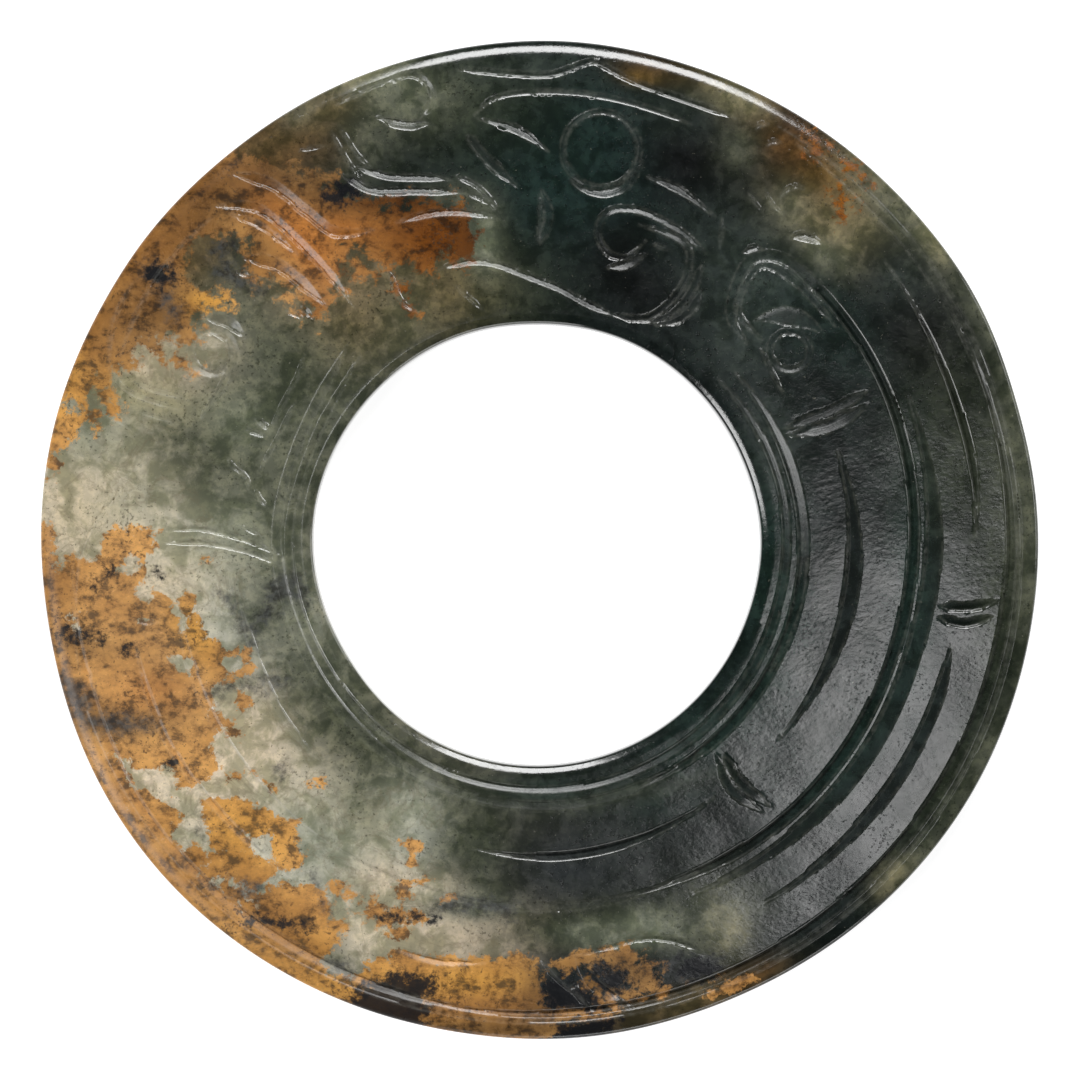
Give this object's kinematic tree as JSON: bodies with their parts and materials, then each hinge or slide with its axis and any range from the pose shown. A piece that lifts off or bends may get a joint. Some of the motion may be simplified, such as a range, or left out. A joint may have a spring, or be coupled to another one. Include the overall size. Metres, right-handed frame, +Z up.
{
  "type": "jade bi disc",
  "caption": "Flat ring of jade with a wide round hole, one face carved with a crested animal head and slant-cut bands, the back plain, lying on its back.",
  "frame": {"origin": "under the middle of the disc's overall outline, on the plane that its plain back lies on", "axes": "+Z up out of the carved face, +Y towards the side of the ring that carries the animal's head"},
  "size_m": [0.1198, 0.12, 0.006],
  "materials": {
    "jade": "polished, mottled"
  },
  "bodies": {
    "root": {"disc": "jade"}
  },
  "joints": []
}
